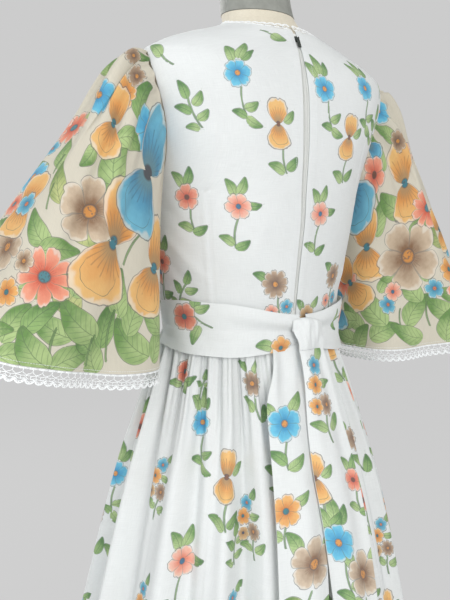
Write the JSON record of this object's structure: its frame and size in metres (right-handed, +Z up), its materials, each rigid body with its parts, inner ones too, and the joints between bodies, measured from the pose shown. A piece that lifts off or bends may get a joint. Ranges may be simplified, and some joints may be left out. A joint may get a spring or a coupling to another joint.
{
  "type": "prairie dress on a dress form",
  "caption": "Full-length floral voile dress with bell sleeves, lace edging, a gathered skirt, a back zip and a sash tied behind, worn by a plain limbless dress form on a stand.",
  "frame": {"origin": "centre of the underside of the stand's foot, on the floor", "axes": "+Z up, the wearer faces -Y, +X is the wearer's left; the zip and the sash's knot are on the +Y side"},
  "size_m": [0.8704, 0.6533, 1.5763],
  "materials": {
    "bodice_voile": "white cotton voile with a scattered printed sprig, slubby and soft",
    "skirt_voile": "the same printed voile, its flowers closer together towards the hem",
    "sleeve_voile": "translucent voile with the print's large flowers",
    "sash_voile": "printed voile, doubled",
    "lace": "white crocheted cotton edging",
    "zip_tape": "off-white woven tape and coil",
    "zip_metal": "dark grey-green painted zinc",
    "form_linen": "cream linen jersey, tightly fitted",
    "form_cap": "grey moulded cap",
    "stand_steel": "satin grey powder coat"
  },
  "bodies": {
    "dress_and_form": {"bodice_front": "bodice_voile", "bodice_back_left": "bodice_voile", "bodice_back_right": "bodice_voile", "neck_lace": "lace", "skirt_front": "skirt_voile", "skirt_back_left": "skirt_voile", "skirt_back_right": "skirt_voile", "sleeve_left": "sleeve_voile", "sleeve_right": "sleeve_voile", "sleeve_lace_left": "lace", "sleeve_lace_right": "lace", "sash_left": "sash_voile", "sash_right": "sash_voile", "sash_knot": "sash_voile", "sash_end_left": "sash_voile", "sash_end_right": "sash_voile", "zip_tape": "zip_tape", "zip_slider": "zip_metal", "form_torso": "form_linen", "form_neck_cap": "form_cap", "stand_pole": "stand_steel", "stand_foot": "stand_steel"},
    "pull_tab": {"zip_pull_tab": "zip_metal"}
  },
  "joints": [
    {"name": "pull_tab_hinge", "type": "hinge", "parent": "dress_and_form", "child": "pull_tab", "pos_m": [0, 0.06005, 1.44635], "axis": [1, 0, 0], "range_deg": [0, 150]}
  ]
}
